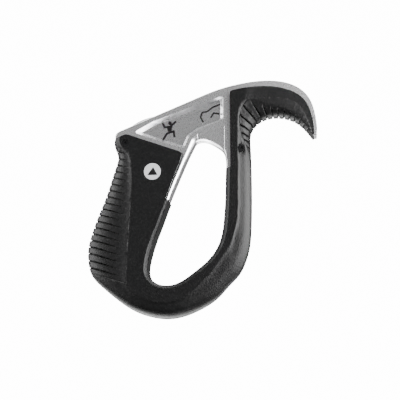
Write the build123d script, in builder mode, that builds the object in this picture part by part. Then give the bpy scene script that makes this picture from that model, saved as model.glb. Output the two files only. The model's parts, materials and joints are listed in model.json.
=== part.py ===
from build123d import *
import os
from math import hypot

# A short hand-held ice tool with a closed finger loop and a rubber-lined hook.
# X points from the palm towards the hook, Z points up and Y runs through the thickness.
# The origin is in the middle of the grip, on the tool's middle plane.

os.makedirs("parts", exist_ok=True)

# Thickness, measured from the middle plane to each side.
COVER_Y = 12.0
FRAME_Y = 7.5
CORE_Y = 3.0
OUTSIDE_Y = 20.0

# Metal head.
POCKET_DEPTH = FRAME_Y - CORE_Y
POCKET_TAPER = 26
RECESS_DEPTH = 1.2
EDGE_ROUND = 0.8
CORE_WALL = 5.0

# The strips that fill the edge between the covers lie this far inside the outline.
STRIP_INSET = 0.2

# Fasteners.
REAR_BOLT = (-8.5, 54.5)
FRONT_BOLT = (82.0, 48.5)
SHANK_D = 3.0
THREAD_D = 3.1
SHANK_END = 3.5
SLEEVE_D = 4.4
SLEEVE_END = 1.0
SLEEVE_FLOOR = 5.0
REAR_HEAD_D = 5.0
FRONT_HEAD_D = 5.4
HEAD_TOP = 11.0
HEAD_SEAT = 8.6
HOLE_PLAY = 0.2
SOCKET_D = 2.5
SOCKET_DEPTH = 1.4
DOWEL_D = 4.0
DOWEL_Y = 7.0
DOWELS = [(8.0, 24.0), (24.0, -70.0), (79.3, 0.0)]

# Marks on the sides.
EMBLEM_AT = (13.1, 31.0)
EMBLEM_R = 6.6
EMBLEM_T = 0.6
MARK_T = 0.3
LINE_W = 1.1
LIMB_W = 1.5
CLIMBER_AT = (25.0, 65.5)
CRAG_AT = (57.5, 79.5)

# Stations round the outline: the outer edge and, beside it, the edge of the side flat.
STATIONS = [
    (-17.0, 60.0, -12.5, 59.5),
    (-18.0, 55.5, -12.5, 55.0),
    (-16.8, 50.5, -9.5, 49.5),
    (-15.0, 45.0, -5.0, 44.0),
    (-16.5, 37.0, -3.5, 35.0),
    (-19.5, 27.5, -3.3, 24.0),
    (-24.0, 13.0, -3.6, 9.0),
    (-29.5, -1.0, -4.2, -5.0),
    (-34.5, -15.5, -4.9, -19.0),
    (-37.3, -28.0, -5.6, -32.0),
    (-37.0, -38.0, -6.2, -43.0),
    (-34.0, -48.5, -6.4, -52.0),
    (-26.0, -57.5, -5.0, -58.0),
    (-14.5, -67.0, -2.0, -62.0),
    (-0.5, -76.0, 5.0, -66.5),
    (12.5, -80.5, 14.0, -69.5),
    (24.0, -82.0, 24.0, -70.5),
    (35.5, -80.5, 34.0, -68.5),
    (47.5, -76.0, 43.0, -63.0),
    (62.5, -66.5, 52.5, -54.0),
    (71.5, -57.0, 59.5, -46.0),
    (79.5, -48.0, 65.5, -38.0),
    (84.5, -38.0, 70.5, -30.0),
    (87.3, -28.0, 74.5, -22.0),
    (88.7, -15.0, 77.5, -12.0),
    (89.3, 5.0, 78.8, 5.0),
    (89.3, 28.0, 79.0, 28.0),
    (88.6, 52.0, 79.0, 55.0),
    (90.0, 65.0, 79.3, 75.5),
    (95.5, 71.2, 83.0, 86.3),
    (102.5, 74.3, 95.0, 89.0),
    (109.5, 75.0, 107.5, 89.5),
    (117.5, 73.7, 118.5, 88.0),
    (124.5, 70.6, 127.0, 83.0),
    (130.0, 66.0, 131.8, 75.0),
    (134.0, 61.3, 134.9, 67.5),
    (137.8, 58.0, 137.3, 60.5),
    (139.2, 61.0, 138.4, 62.0),
    (139.4, 68.0, 138.5, 68.0),
    (137.2, 79.0, 136.3, 78.7),
    (132.4, 89.3, 131.6, 88.7),
    (124.2, 96.4, 123.6, 95.6),
    (110.8, 100.6, 110.6, 99.6),
    (94.2, 100.8, 94.3, 99.8),
    (72.6, 97.2, 72.9, 96.3),
    (40.8, 85.6, 41.2, 84.7),
    (8.8, 72.0, 9.2, 71.1),
    (-11.0, 63.8, -10.6, 62.9),
]

# Outer edge of the hidden core; its far side runs inside the visible metal.
CORE_LOOP = [
    (-11.0, 63.5), (-13.2, 54.5), (-10.5, 45.0), (-14.0, 30.0), (-21.5, 8.0), (-29.5, -14.0),
    (-32.0, -32.0), (-27.5, -48.0), (-14.0, -61.0), (4.0, -71.5), (26.0, -76.5), (46.0, -70.5),
    (66.0, -55.5), (79.0, -36.5), (84.0, -10.0), (84.6, 25.0), (84.8, 52.0), (88.5, 71.0),
    (98.0, 80.5), (110.0, 82.5), (121.0, 79.0), (129.5, 71.0), (135.5, 63.0), (139.0, 65.5),
    (136.9, 79.5), (130.0, 90.8), (116.0, 98.5), (96.0, 100.6), (72.0, 96.8), (30.0, 81.0),
]

# Section of the covers: height above the middle plane and share of the way to the flat.
SECTION = [(0.0, 0.0), (5.0, 0.03), (8.6, 0.22), (10.6, 0.55), (COVER_Y, 1.0)]

# Stations round the finger opening: its wall, and the width of the eased edge on the metal.
OPENING = [
    (45.5, 54.6, 3.2),
    (41.4, 46.2, 2.4),
    (35.6, 33.0, 2.2),
    (29.6, 18.5, 2.2),
    (24.1, 4.5, 2.2),
    (19.3, -9.0, 2.2),
    (15.3, -19.8, 2.2),
    (12.4, -29.0, 2.2),
    (10.2, -38.5, 2.2),
    (9.8, -47.0, 2.2),
    (14.3, -54.2, 2.2),
    (24.0, -57.5, 2.2),
    (34.6, -54.9, 2.2),
    (44.0, -48.6, 2.2),
    (54.5, -40.0, 2.2),
    (62.2, -30.2, 2.2),
    (66.3, -19.5, 2.0),
    (68.2, -5.5, 1.5),
    (69.2, 9.0, 1.0),
    (69.6, 27.5, 1.0),
    (69.4, 41.8, 1.0),
    (67.4, 48.0, 1.6),
    (62.0, 52.7, 3.2),
    (51.0, 57.0, 3.6),
]


def outline_at(share, inset=0.0):
    """Points part of the way from the outer edge to the flat, moved inwards by the inset."""
    points = []
    for outer_x, outer_z, flat_x, flat_z in STATIONS:
        run_x, run_z = flat_x - outer_x, flat_z - outer_z
        first = min(inset / hypot(run_x, run_z), 1.0)
        along = first + (1.0 - first) * share
        points.append((outer_x + along * run_x, outer_z + along * run_z))
    return points


def opening_at(outset=0.0, share=0.0):
    """Points of the opening's wall, moved outwards by a fixed width and a share of its edge."""
    points = []
    for index, (x, z, edge) in enumerate(OPENING):
        before = OPENING[index - 1]
        after = OPENING[(index + 1) % len(OPENING)]
        run_x, run_z = after[0] - before[0], after[1] - before[1]
        width = (outset + edge * share) / hypot(run_x, run_z)
        points.append((x + run_z * width, z - run_x * width))
    return points


def ring(points, height):
    """Closed smooth face through the points, this far right of the middle plane."""
    with BuildSketch(Plane.XZ.offset(height)) as face:
        with BuildLine():
            Spline(*points, periodic=True)
        make_face()
    return face.sketch


def slab(face, height):
    """Plate made from a face that lies this far behind the middle plane."""
    with BuildPart() as plate:
        extrude(to_extrude=face.face(), amount=2 * height)
    return plate.part


def half_body():
    """Right half of the outer shape that the covers and the pads share."""
    with BuildPart() as body:
        loft(sections=[ring(outline_at(share), y) for y, share in SECTION])
    return body.part


def opening_cutter(face_y):
    """Finger opening with its eased edges, which start below the side face."""
    levels = [(0.0, 0.0), (face_y - 2.9, 0.0), (face_y - 1.6, 0.2), (face_y, 1.0), (face_y + 1.5, 2.2)]
    with BuildPart() as cutter:
        loft(sections=[ring(opening_at(0.0, share), y) for y, share in levels])
        mirror(about=Plane.XZ)
    return cutter.part


def hook_taper(side_y, tip_y):
    """Wedges that thin the hook towards its tip on both sides."""
    with BuildPart() as wedge:
        with BuildSketch(Plane.XY.offset(46)):
            with BuildLine():
                Polyline((84, side_y), (143, tip_y), (143, OUTSIDE_Y), (84, OUTSIDE_Y), close=True)
            make_face()
        extrude(amount=64)
        mirror(about=Plane.XZ)
    return wedge.part


def rim_edge():
    """Inner edge of the hook's metal rim, from the tip back to the head."""
    Spline(
        (138.1, 58.3), (137.4, 70.0), (135.0, 79.0), (131.3, 86.3), (126.0, 91.3),
        (117.5, 95.3), (108.0, 97.4), (98.0, 97.9), (73.4, 94.4),
    )


def head_border():
    """Edge of the metal down the column leg, along the grip leg and back to the pommel."""
    Polyline(
        (73.4, 94.4), (73.8, 33.5), (60.0, 33.5), (60.0, 45.0), (45.0, 45.0),
        (28.2, 7.6), (23.4, 9.5), (36.6, 45.7), (-5.2, 60.5),
    )
    Spline((-5.2, 60.5), (-8.5, 61.0), (-12.5, 59.6), (-16.9, 58.0), tangents=[(-2.8, 1), (-2, -1)])


def metal_region(height):
    """Side view of the visible metal: pommel, head, rim of the hook and the two legs."""
    with BuildSketch(Plane.XZ.offset(-height)) as region:
        with BuildLine():
            Spline((-16.9, 58.0), (-17.2, 61.2), (-14.0, 65.0))
            Line((-14.0, 65.0), (52.5, 93.0))
            Spline(
                (52.5, 93.0), (72.0, 99.6), (94.0, 103.2), (111.0, 103.0), (125.5, 98.3),
                (134.0, 90.5), (138.5, 80.0), (140.5, 68.0), (140.1, 58.4),
                tangents=[(2.375, 1), (-1, -6)],
            )
            Line((140.1, 58.4), (138.1, 58.3))
            rim_edge()
            head_border()
        make_face()
        fillet(region.vertices().sort_by_distance((36.6, 45.7))[0], radius=3)
        fillet(region.vertices().sort_by_distance((73.4, 94.4))[0], radius=2.2)
    return region.sketch


def metal_bay():
    """Room for the metal in the covers: the same inner border, open beyond the spine."""
    with BuildPart() as bay:
        with BuildSketch(Plane.XZ.offset(-OUTSIDE_Y)) as region:
            with BuildLine():
                Polyline((-16.9, 58.0), (-40.0, 62.0), (-40.0, 130.0), (160.0, 130.0), (160.0, 58.3), (138.1, 58.3))
                rim_edge()
                head_border()
            make_face()
            fillet(region.vertices().sort_by_distance((36.6, 45.7))[0], radius=3)
            fillet(region.vertices().sort_by_distance((73.4, 94.4))[0], radius=2.2)
        extrude(amount=2 * OUTSIDE_Y)
    return bay.part


def metal_block(height):
    """The visible metal as a plate with softened edges."""
    with BuildPart() as block:
        extrude(to_extrude=metal_region(height).face(), amount=2 * height)
        rims = block.faces().filter_by(Axis.Y).edges()
        fillet(rims, radius=EDGE_ROUND)
    return block.part


def palm_zone():
    """Area of the soft palm pad."""
    with BuildPart() as zone:
        with BuildSketch(Plane.XZ.offset(-OUTSIDE_Y)):
            with BuildLine():
                Spline(
                    (-6.0, 48.5), (-3.7, 37.0), (-3.6, 9.0),
                    (-5.6, -32.0), (-6.3, -56.0),
                )
                Polyline(
                    (-6.3, -56.0), (-60.0, -38.0), (-60.0, 66.6), (-6.0, 48.5),
                )
            make_face()
        extrude(amount=2 * OUTSIDE_Y)
    return zone.part


def hook_zone():
    """Area of the soft hook pad."""
    with BuildPart() as zone:
        with BuildSketch(Plane.XZ.offset(-OUTSIDE_Y)):
            with BuildLine():
                Spline(
                    (91.0, 43.0), (85.8, 51.0), (81.6, 63.0), (81.2, 77.0),
                    (86.0, 85.8), (97.0, 88.6), (108.0, 89.0),
                    (118.5, 87.4), (127.0, 82.4), (131.8, 74.5),
                    (134.9, 67.0), (136.2, 61.5),
                )
                Polyline((136.2, 61.5), (136.5, 50.0), (110.0, 43.0), (91.0, 43.0))
            make_face()
        extrude(amount=2 * OUTSIDE_Y)
    return zone.part


def rod(place, diameter, near, far):
    """Round rod across the tool, between two distances to the right of the middle plane."""
    with BuildPart() as bar:
        with BuildSketch(Plane.XZ.offset(near)):
            with Locations(place):
                Circle(diameter / 2)
        extrude(amount=far - near)
    return bar.part


def bolt_holes():
    """Clearance for both screws and their sleeve nuts through the two covers."""
    with BuildPart() as holes:
        for place, head_d in ((REAR_BOLT, REAR_HEAD_D), (FRONT_BOLT, FRONT_HEAD_D)):
            add(rod(place, SLEEVE_D + HOLE_PLAY, -HEAD_SEAT, HEAD_SEAT))
            add(rod(place, head_d + HOLE_PLAY, HEAD_SEAT, OUTSIDE_Y))
            add(rod(place, head_d + HOLE_PLAY, -OUTSIDE_Y, -HEAD_SEAT))
    return holes.part


def screw(place, head_d):
    """Socket screw that enters from the right and stops inside the sleeve nut."""
    with BuildPart() as bolt:
        add(rod(place, head_d, HEAD_SEAT, HEAD_TOP))
        add(rod(place, SHANK_D, -SHANK_END, HEAD_SEAT))
        with BuildSketch(Plane.XZ.offset(HEAD_TOP)):
            with Locations(place):
                RegularPolygon(SOCKET_D / 2, 6, major_radius=False)
        extrude(amount=-SOCKET_DEPTH, mode=Mode.SUBTRACT)
    return bolt.part


def sleeve_nut(place, head_d):
    """Nut with a blind threaded sleeve that enters from the left."""
    with BuildPart() as nut:
        add(rod(place, head_d, -HEAD_TOP, -HEAD_SEAT))
        add(rod(place, SLEEVE_D, -HEAD_SEAT, SLEEVE_END))
        add(rod(place, THREAD_D, -SLEEVE_FLOOR, SLEEVE_END), mode=Mode.SUBTRACT)
        with BuildSketch(Plane.XZ.offset(-HEAD_TOP)):
            with Locations(place):
                RegularPolygon(SOCKET_D / 2, 6, major_radius=False)
        extrude(amount=SOCKET_DEPTH, mode=Mode.SUBTRACT)
    return nut.part


def emblem_disc(side):
    """Round badge with a plain peak cut through it, flush with a side flat."""
    with BuildPart() as disc:
        with BuildSketch(Plane.XZ.offset(side * COVER_Y)):
            with Locations(EMBLEM_AT):
                Circle(EMBLEM_R)
                Polygon((-4.0, -2.8), (4.0, -2.8), (0.6, 3.4), align=None, mode=Mode.SUBTRACT)
        extrude(amount=-side * EMBLEM_T)
    return disc.part


def climber_mark(side):
    """Stick figure of a climber, printed on the floor of the big pocket."""
    with BuildPart() as mark:
        with BuildSketch(Plane.XZ.offset(side * CORE_Y)):
            with Locations(CLIMBER_AT):
                with Locations((0.6, 6.2)):
                    Circle(1.45)
                Polygon((-1.9, 3.9), (2.6, 3.9), (1.7, -0.6), (-1.0, -0.6), align=None)
            with BuildLine(Location(CLIMBER_AT)):
                Polyline((-5.2, 6.4), (-3.6, 3.0), (0.2, 3.4))
                Polyline((0.8, 3.3), (5.4, 7.6))
                Polyline((-5.0, -7.6), (-1.8, -2.2), (0.4, -1.4), (3.6, -0.4), (4.2, -5.2))
            trace(line_width=LIMB_W)
        extrude(amount=side * MARK_T)
    return mark.part


def crag_mark(side):
    """Overhanging crag with a rope below it, printed on the floor of the big pocket."""
    with BuildPart() as mark:
        with BuildSketch(Plane.XZ.offset(side * CORE_Y)):
            with BuildLine(Location(CRAG_AT)):
                Polyline((7.4, 6.6), (1.6, 4.2), (-2.6, 0.8), (-6.4, 0.4), (-7.8, -3.6), (-5.6, -7.6))
                Polyline((7.2, -1.2), (2.6, -0.4), (0.2, -4.2))
            trace(line_width=LINE_W)
        extrude(amount=side * MARK_T)
    return mark.part


opening_in_metal = opening_cutter(FRAME_Y)
opening_in_cover = slab(ring(opening_at(), -OUTSIDE_Y), OUTSIDE_Y)
core_plate = slab(ring(CORE_LOOP, -CORE_Y), CORE_Y)
core_window = slab(ring(opening_at(CORE_WALL), -OUTSIDE_Y), OUTSIDE_Y)

# Frame: the visible head, rim and legs, and the thinner hidden loop inside the covers.
with BuildPart() as core:
    add(core_plate)
    add(core_window, mode=Mode.SUBTRACT)
core.part.label = "core"

with BuildPart() as frame:
    add(core.part)
    add(metal_block(FRAME_Y))
    add(opening_in_metal, mode=Mode.SUBTRACT)
    add(hook_taper(FRAME_Y, 4.6), mode=Mode.SUBTRACT)
    for side in (1, -1):
        with BuildSketch(Plane.XZ.offset(side * FRAME_Y)) as big_pocket:
            with BuildLine():
                Polyline(
                    (-2.5, 63.8), (13.0, 72.5), (67.6, 92.1), (67.6, 73.0), (47.0, 64.8),
                    (41.2, 60.2), (36.8, 50.2), close=True,
                )
            make_face()
            fillet(big_pocket.vertices(), radius=1.4)
        extrude(amount=-side * POCKET_DEPTH, taper=POCKET_TAPER, mode=Mode.SUBTRACT)
        with BuildSketch(Plane.XZ.offset(side * FRAME_Y)):
            with BuildLine():
                Polyline((47.5, 61.2), (68.6, 67.5), (68.6, 48.0), (47.5, 48.0), close=True)
            make_face()
        extrude(amount=-side * RECESS_DEPTH, mode=Mode.SUBTRACT)
    with BuildSketch(Plane.XZ) as slots:
        with Locations((-8.0, -6.0)):
            SlotOverall(44, 11, rotation=71)
        with Locations((-15.0, -40.0)):
            Circle(6)
    extrude(amount=CORE_Y, both=True, mode=Mode.SUBTRACT)
    for place in (REAR_BOLT, FRONT_BOLT):
        add(rod(place, SLEEVE_D + HOLE_PLAY, -CORE_Y, CORE_Y), mode=Mode.SUBTRACT)
    for place in DOWELS:
        add(rod(place, DOWEL_D, -CORE_Y, CORE_Y), mode=Mode.SUBTRACT)
frame.part.label = "frame"
export_step(frame.part, "parts/frame.step")

# Pads: soft blocks moulded round the core, behind the grip and in the throat of the hook.
for name, zone in (("palm_pad", palm_zone()), ("hook_pad", hook_zone())):
    with BuildPart() as pad:
        add(half_body())
        add(zone, mode=Mode.INTERSECT)
        add(hook_taper(COVER_Y, 8.4), mode=Mode.SUBTRACT)
        add(core.part, mode=Mode.SUBTRACT)
        mirror(about=Plane.XZ)
    pad.part.label = name
    export_step(pad.part, "parts/" + name + ".step")

# Edge strips: they lie round the core between the covers, outside it and inside it.
with BuildPart() as strips:
    add(slab(ring(outline_at(0.0, STRIP_INSET), -CORE_Y), CORE_Y))
    add(opening_in_cover, mode=Mode.SUBTRACT)
    add(metal_bay(), mode=Mode.SUBTRACT)
    add(palm_zone(), mode=Mode.SUBTRACT)
    add(hook_zone(), mode=Mode.SUBTRACT)
    add(core.part, mode=Mode.SUBTRACT)

with BuildPart() as inner_strip:
    add(strips.part)
    add(core_window, mode=Mode.INTERSECT)
inner_strip.part.label = "inner_strip"
export_step(inner_strip.part, "parts/inner_strip.step")

with BuildPart() as outer_strip:
    add(strips.part)
    add(core_window, mode=Mode.SUBTRACT)
outer_strip.part.label = "outer_strip"
export_step(outer_strip.part, "parts/outer_strip.step")

# Covers: two moulded shells that clamp the core between them.
with BuildPart() as right_cover:
    add(half_body())
    add(metal_bay(), mode=Mode.SUBTRACT)
    add(opening_in_cover, mode=Mode.SUBTRACT)
    add(palm_zone(), mode=Mode.SUBTRACT)
    add(hook_zone(), mode=Mode.SUBTRACT)
    with BuildSketch(Plane.XZ.offset(CORE_Y)):
        Rectangle(500, 500)
    extrude(amount=-OUTSIDE_Y, mode=Mode.SUBTRACT)
    add(hook_taper(COVER_Y, 8.4), mode=Mode.SUBTRACT)
    add(bolt_holes(), mode=Mode.SUBTRACT)
    for place in DOWELS:
        add(rod(place, DOWEL_D, -DOWEL_Y, DOWEL_Y), mode=Mode.SUBTRACT)
    add(emblem_disc(1), mode=Mode.SUBTRACT)
right_cover.part.label = "right_cover"
export_step(right_cover.part, "parts/right_cover.step")

with BuildPart() as left_cover:
    add(right_cover.part)
    mirror(about=Plane.XZ, mode=Mode.REPLACE)
left_cover.part.label = "left_cover"
export_step(left_cover.part, "parts/left_cover.step")

# Fasteners: two socket screws, their sleeve nuts and the pins that line the covers up.
for name, place, head_d in (("rear", REAR_BOLT, REAR_HEAD_D), ("front", FRONT_BOLT, FRONT_HEAD_D)):
    with BuildPart() as bolt:
        add(screw(place, head_d))
    bolt.part.label = name + "_bolt"
    export_step(bolt.part, "parts/" + name + "_bolt.step")
    with BuildPart() as nut:
        add(sleeve_nut(place, head_d))
    nut.part.label = name + "_nut"
    export_step(nut.part, "parts/" + name + "_nut.step")

with BuildPart() as dowel_pins:
    for place in DOWELS:
        add(rod(place, DOWEL_D, -DOWEL_Y, DOWEL_Y))
dowel_pins.part.label = "dowel_pins"
export_step(dowel_pins.part, "parts/dowel_pins.step")

# Badge on each cover and the two pictograms on each side of the head.
for name, side in (("right", 1), ("left", -1)):
    with BuildPart() as emblem:
        add(emblem_disc(side))
    emblem.part.label = name + "_emblem"
    export_step(emblem.part, "parts/" + name + "_emblem.step")
    with BuildPart() as climber:
        add(climber_mark(side))
    climber.part.label = name + "_climber_mark"
    export_step(climber.part, "parts/" + name + "_climber_mark.step")
    with BuildPart() as crag:
        add(crag_mark(side))
    crag.part.label = name + "_crag_mark"
    export_step(crag.part, "parts/" + name + "_crag_mark.step")
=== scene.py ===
import json
import math

import bmesh
import bpy
import numpy as np
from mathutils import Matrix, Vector
from mathutils.bvhtree import BVHTree

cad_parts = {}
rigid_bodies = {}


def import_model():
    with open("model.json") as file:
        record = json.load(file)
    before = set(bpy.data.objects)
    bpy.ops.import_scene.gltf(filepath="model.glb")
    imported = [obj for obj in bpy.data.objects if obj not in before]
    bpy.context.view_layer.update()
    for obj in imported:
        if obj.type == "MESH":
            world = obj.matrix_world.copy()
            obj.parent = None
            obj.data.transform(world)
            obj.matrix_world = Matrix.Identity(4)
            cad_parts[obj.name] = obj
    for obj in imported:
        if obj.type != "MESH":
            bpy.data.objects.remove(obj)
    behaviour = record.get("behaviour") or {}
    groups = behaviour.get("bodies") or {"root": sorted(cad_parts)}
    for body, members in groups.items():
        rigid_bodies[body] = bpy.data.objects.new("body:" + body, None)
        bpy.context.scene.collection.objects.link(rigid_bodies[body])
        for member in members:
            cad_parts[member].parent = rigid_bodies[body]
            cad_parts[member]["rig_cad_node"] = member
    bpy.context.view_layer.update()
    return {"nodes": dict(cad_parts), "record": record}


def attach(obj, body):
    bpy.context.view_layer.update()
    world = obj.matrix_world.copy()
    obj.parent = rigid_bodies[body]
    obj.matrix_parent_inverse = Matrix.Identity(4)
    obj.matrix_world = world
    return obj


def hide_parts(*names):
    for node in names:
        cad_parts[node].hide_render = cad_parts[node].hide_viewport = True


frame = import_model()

# Looks of a hand-held ice tool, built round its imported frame. Lengths are in metres.

MM = 0.001
COVER_Y = 12.0 * MM         # side flats of the covers, each way from the middle plane
SPLIT_Y = 3.0 * MM          # inner faces of the covers, where the core begins
RIM_ZONE = 4.2 * MM         # how far from the finger opening the side flats are refined
RIM_STEP = 0.9 * MM         # longest edge left there
RIM_ROUNDS = 8
WELD = 0.002 * MM           # vertices closer than this are one
GROOVE_HALF = 0.62 * MM
GROOVE_FLOOR = 0.12 * MM
GROOVE_DEPTH = 1.5 * MM
GROOVE_STEPS = [-0.62 * MM, -0.37 * MM, -0.12 * MM, 0.12 * MM, 0.37 * MM, 0.62 * MM]
PAD_LEVELS = [8.0 * MM, 10.0 * MM, 11.0 * MM, 11.4 * MM]
THROAT = (110.5 * MM, 51.5 * MM)


def smoothstep(low, high, value):
    """0 below low, 1 above high, and a smooth rise between them; works on arrays."""
    t = np.clip((value - low) / (high - low), 0.0, 1.0)
    return t * t * (3.0 - 2.0 * t)


def points_of(mesh):
    """Vertex places of a mesh as an array."""
    places = np.empty(len(mesh.vertices) * 3)
    mesh.vertices.foreach_get("co", places)
    return places.reshape(-1, 3)


def put_points(mesh, places):
    """Writes vertex places back to a mesh."""
    mesh.vertices.foreach_set("co", places.ravel())
    mesh.update()


def shade_evenly(piece, crease):
    """Keeps creases sharp and lets the larger faces lead the shading."""
    for polygon in piece.data.polygons:
        polygon.use_smooth = True
    piece.data.set_sharp_from_angle(angle=math.radians(crease))
    even = piece.modifiers.new("even_shading", "WEIGHTED_NORMAL")
    even.keep_sharp = True
    even.weight = 90


def opening_wall():
    """Outline of the finger opening near the middle plane, seen from a point inside it."""
    vertices = []
    faces = []
    for name in ("frame", "inner_strip"):
        mesh = frame["nodes"][name].data
        start = len(vertices)
        vertices += [v.co.copy() for v in mesh.vertices]
        faces += [[start + i for i in p.vertices] for p in mesh.polygons]
    tree = BVHTree.FromPolygons(vertices, faces)
    centre = Vector((41.0 * MM, -1.5 * MM, -2.0 * MM))
    wall = []
    for step in range(720):
        angle = math.radians(step / 2.0)
        hit = tree.ray_cast(centre, Vector((math.cos(angle), 0.0, math.sin(angle))))[0]
        wall.append((hit.x, hit.z))
    return np.array(wall)


def crisper_bevel(places, wall):
    """Pulls the rounded outer skin in below the flats, so that it falls away more evenly."""
    outer = smoothstep(4.5 * MM, 6.5 * MM, gap_to_line(places, wall))
    height = np.abs(places[:, 1])
    known = np.array([0.0, 3.0, 5.0, 8.6, 10.6, 11.6, 12.0]) * MM
    wanted = np.array([0.0, 3.0, 4.5, 7.3, 9.6, 11.2, 12.0]) * MM
    share = smoothstep(20 * MM, 60 * MM, places[:, 0]) - 0.6 * smoothstep(90 * MM, 112 * MM, places[:, 0])
    lowered = height + (np.interp(height, known, wanted) - height) * share * outer
    places[:, 1] = np.sign(places[:, 1]) * lowered


def gap_to_line(places, line):
    """Distance in the side view from each place to a closed line."""
    runs = np.roll(line, -1, axis=0) - line
    squares = np.maximum((runs ** 2).sum(1), 1e-18)
    flat = places[:, [0, 2]]
    best = np.full(len(flat), 1e9)
    for start, run, square in zip(line, runs, squares):
        away = flat - start
        share = np.clip((away @ run) / square, 0.0, 1.0)
        reach = np.hypot(*(away - share[:, None] * run).T)
        best = np.minimum(best, reach)
    return best


def bevel_width(places):
    """Width of the eased cover edge: narrow up the grip, wide round the bow and the column."""
    up_the_grip = smoothstep(-40 * MM, 10 * MM, places[:, 2]) * (places[:, 0] < 40 * MM)
    on_the_column = smoothstep(48 * MM, 62 * MM, places[:, 0])
    return (2.9 - 1.2 * up_the_grip + 0.6 * on_the_column) * MM


def refine_rim(shaped, wall):
    """Splits the long edges of the side flat where it runs close to the finger opening."""
    for _ in range(RIM_ROUNDS):
        shaped.verts.index_update()
        places = np.array([vertex.co for vertex in shaped.verts])
        near = gap_to_line(places, wall) < RIM_ZONE
        flat = np.abs(places[:, 1]) > COVER_Y - 0.02 * MM
        pairs = [(edge, edge.verts[0].index, edge.verts[1].index) for edge in shaped.edges]
        long_edges = [edge for edge, a, b in pairs
                      if flat[a] and flat[b] and (near[a] or near[b]) and edge.calc_length() > RIM_STEP]
        if not long_edges:
            break
        bmesh.ops.subdivide_edges(shaped, edges=long_edges, cuts=1)
        bmesh.ops.triangulate(shaped, faces=shaped.faces)


def join_flat_faces(mesh):
    """Merges faces that lie in one plane, so that they are shaded as one."""
    merged = bmesh.new()
    merged.from_mesh(mesh)
    bmesh.ops.dissolve_limit(merged, angle_limit=math.radians(0.4), verts=merged.verts,
                             edges=merged.edges, use_dissolve_boundaries=False)
    merged.to_mesh(mesh)
    merged.free()


def eased_cover(node, name, wall):
    """Copy of a cover whose edge along the finger opening falls away in a chamfer."""
    mesh = frame["nodes"][node].data.copy()
    mesh.name = name
    shaped = bmesh.new()
    shaped.from_mesh(mesh)
    bmesh.ops.remove_doubles(shaped, verts=shaped.verts, dist=WELD)
    refine_rim(shaped, wall)
    shaped.to_mesh(mesh)
    shaped.free()
    places = points_of(mesh)
    width = bevel_width(places)
    share = np.clip(gap_to_line(places, wall) / width, 0.0, 1.0)
    drop = width * (1.0 - share) ** 1.2
    height = np.abs(places[:, 1])
    scale = (COVER_Y - drop - SPLIT_Y) / (COVER_Y - SPLIT_Y)
    eased = SPLIT_Y + (height - SPLIT_Y) * scale
    places[:, 1] = np.sign(places[:, 1]) * np.where(height > SPLIT_Y, eased, height)
    crisper_bevel(places, wall)
    put_points(mesh, places)
    join_flat_faces(mesh)
    mesh.materials.clear()
    cover = bpy.data.objects.new(name, mesh)
    bpy.context.scene.collection.objects.link(cover)
    shade_evenly(cover, 40.0)
    return cover


def score(mesh, cuts):
    """Adds edge lines where planes, each a point and a normal, cross a mesh."""
    scored = bmesh.new()
    scored.from_mesh(mesh)
    bmesh.ops.remove_doubles(scored, verts=scored.verts, dist=WELD)
    for point, normal in cuts:
        geometry = scored.verts[:] + scored.edges[:] + scored.faces[:]
        bmesh.ops.bisect_plane(scored, geom=geometry, dist=1e-7, plane_co=point, plane_no=normal)
    bmesh.ops.triangulate(scored, faces=scored.faces)
    scored.to_mesh(mesh)
    scored.free()


def normals_of(mesh):
    """Vertex normals of a mesh as an array."""
    normals = np.empty(len(mesh.vertices) * 3)
    mesh.vertex_normals.foreach_get("vector", normals)
    return normals.reshape(-1, 3)


def grooved_copy(node, name, lines, reach, outside, wall):
    """Copy of a pad with a groove pressed in along each line, given as a point and a direction."""
    mesh = frame["nodes"][node].data.copy()
    mesh.name = name
    piece = bpy.data.objects.new(name, mesh)
    bpy.context.scene.collection.objects.link(piece)
    cuts = [(Vector((0.0, side * level, 0.0)), Vector((0.0, 1.0, 0.0)))
            for side in (-1, 1) for level in PAD_LEVELS]
    for point, direction in lines:
        sideways = Vector((-direction[1], 0.0, direction[0]))
        for offset in GROOVE_STEPS:
            start = Vector((point[0], 0.0, point[1])) + sideways * offset
            cuts.append((start, sideways))
    score(mesh, cuts)
    places = points_of(mesh)
    normals = normals_of(mesh)
    flat = places[:, [0, 2]]
    depth = np.zeros(len(places))
    for point, direction in lines:
        away = flat - np.array(point)
        across = np.abs(away @ np.array([-direction[1], direction[0]]))
        ahead = away @ np.array(direction) > 0.0
        shape = 1.0 - smoothstep(GROOVE_FLOOR, GROOVE_HALF, across)
        depth = np.maximum(depth, shape * ahead)
    depth *= GROOVE_DEPTH * reach(places) * outside(places, normals)
    pressed = places - normals * depth[:, None]
    crisper_bevel(pressed, wall)
    put_points(mesh, pressed)
    mesh.materials.clear()
    shade_evenly(piece, 38.0)
    return piece


def palm_lines():
    """Nineteen parallel lines down the back of the grip, tilted with the hand."""
    tilt = math.radians(18.6)
    down = np.array([-math.sin(tilt), -math.cos(tilt)])
    along = (-math.cos(tilt), math.sin(tilt))
    first = np.array([30.0, 33.2]) * MM
    return [(tuple(first + down * 5.15 * MM * step), along) for step in range(19)]


def hook_lines():
    """Lines that fan out from the middle of the throat, then three down the column."""
    lines = []
    for step in range(13):
        angle = math.radians(152.0 - 10.4 * step)
        lines.append((THROAT, (math.cos(angle), math.sin(angle))))
    tilt = math.radians(-19.0)
    for height in (49.2, 53.8, 58.3):
        lines.append(((96.0 * MM, (height - 2.4) * MM), (-math.cos(tilt), -math.sin(tilt))))
    return lines


def palm_reach(places):
    """Grooves run out just before the crease beside the flat."""
    return 1.0 - smoothstep(9.6 * MM, 11.7 * MM, np.abs(places[:, 1]))


def palm_outside(places, normals):
    """Skin of the palm pad, without the faces that touch the core and the covers."""
    skin = (np.abs(places[:, 1]) > 3.2 * MM) | (normals[:, 0] < -0.5)
    return skin & (normals[:, 0] < 0.35)


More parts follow.
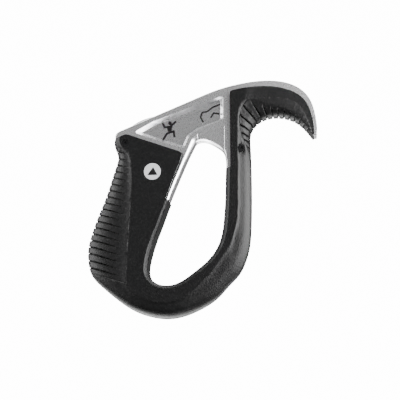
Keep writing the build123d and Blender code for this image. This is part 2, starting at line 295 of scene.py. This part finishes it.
def hook_reach(places):
    """Grooves run out before the crease and before the tip, where the hook is thinner."""
    side = COVER_Y - np.maximum(places[:, 0] - 84.0 * MM, 0.0) * (3.6 / 59.0)
    return smoothstep(0.25 * MM, 1.2 * MM, side - np.abs(places[:, 1]))


def hook_outside(places, normals):
    """Skin of the hook pad, without the faces that touch the core and the covers."""
    away = places[:, [0, 2]] - np.array(THROAT)
    inward = -(normals[:, [0, 2]] * away).sum(axis=1) / np.hypot(away[:, 0], away[:, 1])
    return ((np.abs(places[:, 1]) > 3.2 * MM) | (inward > 0.4)) & (inward > -0.35)


def principled(name, colour, roughness, metallic=0.0, specular=0.5):
    """Material with one principled shader; gives the material and the shader."""
    material = bpy.data.materials.new(name)
    material.use_nodes = True
    shader = material.node_tree.nodes["Principled BSDF"]
    shader.inputs["Base Color"].default_value = (*colour, 1.0)
    shader.inputs["Roughness"].default_value = roughness
    shader.inputs["Metallic"].default_value = metallic
    shader.inputs["Specular IOR Level"].default_value = specular
    return material, shader


def grain(material, shader, scale, strength, depth, spread):
    """Adds fine bumps and a slightly uneven roughness to a material, and gives it back."""
    tree = material.node_tree
    place = tree.nodes.new("ShaderNodeTexCoord")
    noise = tree.nodes.new("ShaderNodeTexNoise")
    noise.inputs["Scale"].default_value = scale
    noise.inputs["Detail"].default_value = 1.0
    bump = tree.nodes.new("ShaderNodeBump")
    bump.inputs["Strength"].default_value = strength
    bump.inputs["Distance"].default_value = depth
    tree.links.new(place.outputs["Object"], noise.inputs["Vector"])
    tree.links.new(noise.outputs["Fac"], bump.inputs["Height"])
    tree.links.new(bump.outputs["Normal"], shader.inputs["Normal"])
    range_node = tree.nodes.new("ShaderNodeMapRange")
    base = shader.inputs["Roughness"].default_value
    range_node.inputs["To Min"].default_value = base - spread
    range_node.inputs["To Max"].default_value = base + spread
    tree.links.new(noise.outputs["Fac"], range_node.inputs["Value"])
    tree.links.new(range_node.outputs["Result"], shader.inputs["Roughness"])
    return material


def soft_edges(material, radius):
    """Shades the edges of a material as if they were lightly rounded."""
    tree = material.node_tree
    rounded = tree.nodes.new("ShaderNodeBevel")
    rounded.samples = 8
    rounded.inputs["Radius"].default_value = radius
    tree.links.new(rounded.outputs["Normal"], tree.nodes["Bump"].inputs["Normal"])


def paint_pocket_shade(material, shader):
    """Paints shade into the metal of the pocket floors, which lie nearest to the middle plane: a darker
    base colour there stands in for the shade in the recesses.
    """
    tree = material.node_tree
    place = tree.nodes.new("ShaderNodeTexCoord")
    split = tree.nodes.new("ShaderNodeSeparateXYZ")
    height = tree.nodes.new("ShaderNodeMath")
    height.operation = "ABSOLUTE"
    fade = tree.nodes.new("ShaderNodeMapRange")
    fade.inputs["From Min"].default_value = 3.3 * MM
    fade.inputs["From Max"].default_value = 3.8 * MM
    mix = tree.nodes.new("ShaderNodeMix")
    mix.data_type = "RGBA"
    # Painted shade: the 0.74 grey, darker than the 0.86 metal, is given to the pocket floors for the shade
    # in the recesses.
    mix.inputs["A"].default_value = (0.74, 0.74, 0.75, 1.0)
    mix.inputs["B"].default_value = shader.inputs["Base Color"].default_value
    tree.links.new(place.outputs["Object"], split.inputs["Vector"])
    tree.links.new(split.outputs["Y"], height.inputs[0])
    tree.links.new(height.outputs["Value"], fade.inputs["Value"])
    tree.links.new(fade.outputs["Result"], mix.inputs["Factor"])
    tree.links.new(mix.outputs["Result"], shader.inputs["Base Color"])


def finishes():
    """All materials of the tool, by the record's slot names."""
    made = {}
    material, shader = principled("blasted_metal", (0.86, 0.86, 0.87), 0.28, 1.0)
    # Painted shade: the pocket floors get a darker metal colour.
    paint_pocket_shade(material, shader)
    made["bare_metal"] = grain(material, shader, 2200.0, 0.12, 0.00005, 0.04)
    soft_edges(material, 0.35 * MM)
    material, shader = principled("moulded_cover", (0.0015, 0.0015, 0.0016), 0.4, 0.0, 0.2)
    made["moulded_black"] = grain(material, shader, 1400.0, 1.0, 0.00022, 0.08)
    material, shader = principled("soft_pad", (0.0015, 0.0015, 0.0016), 0.4, 0.0, 0.22)
    made["soft_black"] = grain(material, shader, 1400.0, 1.0, 0.00022, 0.08)
    material, shader = principled("black_screw", (0.05, 0.05, 0.052), 0.3, 1.0)
    made["black_steel"] = grain(material, shader, 3000.0, 0.15, 0.00004, 0.05)
    material, shader = principled("ground_pin", (0.5, 0.5, 0.5), 0.3, 1.0)
    made["steel_pin"] = grain(material, shader, 3000.0, 0.1, 0.00004, 0.05)
    material, shader = principled("pale_badge", (0.36, 0.36, 0.37), 0.5, 0.0, 0.3)
    made["badge_grey"] = grain(material, shader, 2500.0, 0.1, 0.00004, 0.05)
    material, shader = principled("black_print", (0.003, 0.003, 0.003), 0.6, 0.0, 0.1)
    made["mark_ink"] = grain(material, shader, 2500.0, 0.1, 0.00003, 0.05)
    return made


def dress(piece, slot, materials):
    """Gives a piece the material of its slot; a new piece is hung under the root body."""
    if "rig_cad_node" in piece:
        for polygon in piece.data.polygons:
            polygon.use_smooth = True
        piece.data.materials.clear()
    piece.data.materials.append(materials[slot])
    if "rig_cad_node" not in piece:
        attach(piece, "root")


def area_light(name, place, aim, size, power):
    """Rectangular softbox that faces a point."""
    light = bpy.data.lights.new(name, "AREA")
    light.shape = "RECTANGLE"
    light.size, light.size_y = size
    light.energy = power
    holder = bpy.data.objects.new(name, light)
    bpy.context.scene.collection.objects.link(holder)
    holder.location = place
    holder.rotation_euler = (Vector(aim) - Vector(place)).to_track_quat("-Z", "Y").to_euler()
    holder.visible_camera = False


def backdrop():
    """Pale studio all round: a floor well below the tool that curves up into walls and a roof."""
    floor_z, wall, curve, top_z = -0.9, 3.0, 0.8, 2.2
    profile = [(0.0, floor_z)]
    for step in range(9):
        angle = math.radians(90.0 * step / 8.0)
        profile.append((wall - curve + curve * math.sin(angle), floor_z + curve * (1.0 - math.cos(angle))))
    profile += [(wall, top_z), (0.0, top_z + 1.0)]
    studio = bmesh.new()
    line = [studio.verts.new((x, 0.0, z)) for x, z in profile]
    edges = [studio.edges.new(pair) for pair in zip(line, line[1:])]
    bmesh.ops.spin(studio, geom=line + edges, cent=(0.0, 0.0, 0.0), axis=(0.0, 0.0, 1.0),
                   angle=math.radians(360.0), steps=64)
    bmesh.ops.remove_doubles(studio, verts=studio.verts, dist=MM)
    mesh = bpy.data.meshes.new("studio")
    studio.to_mesh(mesh)
    studio.free()
    shell = bpy.data.objects.new("studio", mesh)
    bpy.context.scene.collection.objects.link(shell)
    material, shader = principled("pale_studio", (0.9, 0.9, 0.9), 0.9, 0.0, 0.1)
    shader.inputs["Emission Color"].default_value = (1.0, 1.0, 1.0, 1.0)
    shader.inputs["Emission Strength"].default_value = 14.0
    mesh.materials.append(material)
    shell.visible_glossy = False
    shell.visible_diffuse = False


def camera():
    """Long lens, a little to the right of square on and a little below."""
    data = bpy.data.cameras.new("view")
    data.lens = 116.0
    data.clip_end = 20.0
    holder = bpy.data.objects.new("view", data)
    bpy.context.scene.collection.objects.link(holder)
    aim = Vector((49.0, 0.0, 10.3)) * MM
    turn, rise = math.radians(5.0), math.radians(-12.0)
    back = Vector((math.sin(turn) * math.cos(rise), -math.cos(turn) * math.cos(rise), math.sin(rise)))
    holder.location = aim + back
    holder.rotation_euler = (-back).to_track_quat("-Z", "Y").to_euler()
    bpy.context.scene.camera = holder


materials = finishes()
wall = opening_wall()

for name, node in (("near_cover", "right_cover"), ("far_cover", "left_cover")):
    cover = eased_cover(node, name, wall)
    dress(cover, "moulded_black", materials)
    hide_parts(node)

palm = grooved_copy("palm_pad", "grooved_palm", palm_lines(), palm_reach, palm_outside, wall)
dress(palm, "soft_black", materials)
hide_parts("palm_pad")

lining = grooved_copy("hook_pad", "grooved_lining", hook_lines(), hook_reach, hook_outside, wall)
dress(lining, "soft_black", materials)
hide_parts("hook_pad")

replaced = {"right_cover", "left_cover", "palm_pad", "hook_pad"}
for part in frame["record"]["subparts"]:
    if part["node"] not in replaced:
        dress(frame["nodes"][part["node"]], part["material_slot"], materials)

backdrop()
centre = (0.05, 0.0, 0.01)
area_light("left_box", (-0.92, -0.32, 0.2), centre, (1.0, 1.1), 33.0)
area_light("right_box", (1.0, -0.38, 0.15), centre, (1.6, 1.1), 100.0)
area_light("top_box", (0.05, 0.12, 1.0), centre, (1.4, 0.8), 34.0)
area_light("low_box", (0.1, 0.5, -0.75), centre, (1.2, 1.0), 30.0)
area_light("edge_box", (-0.55, 0.6, -0.6), centre, (0.9, 0.9), 12.0)
world = bpy.data.worlds.new("studio")
world.use_nodes = True
world.node_tree.nodes["Background"].inputs["Color"].default_value = (1.0, 1.0, 1.0, 1.0)
world.node_tree.nodes["Background"].inputs["Strength"].default_value = 0.24
bpy.context.scene.world = world
camera()
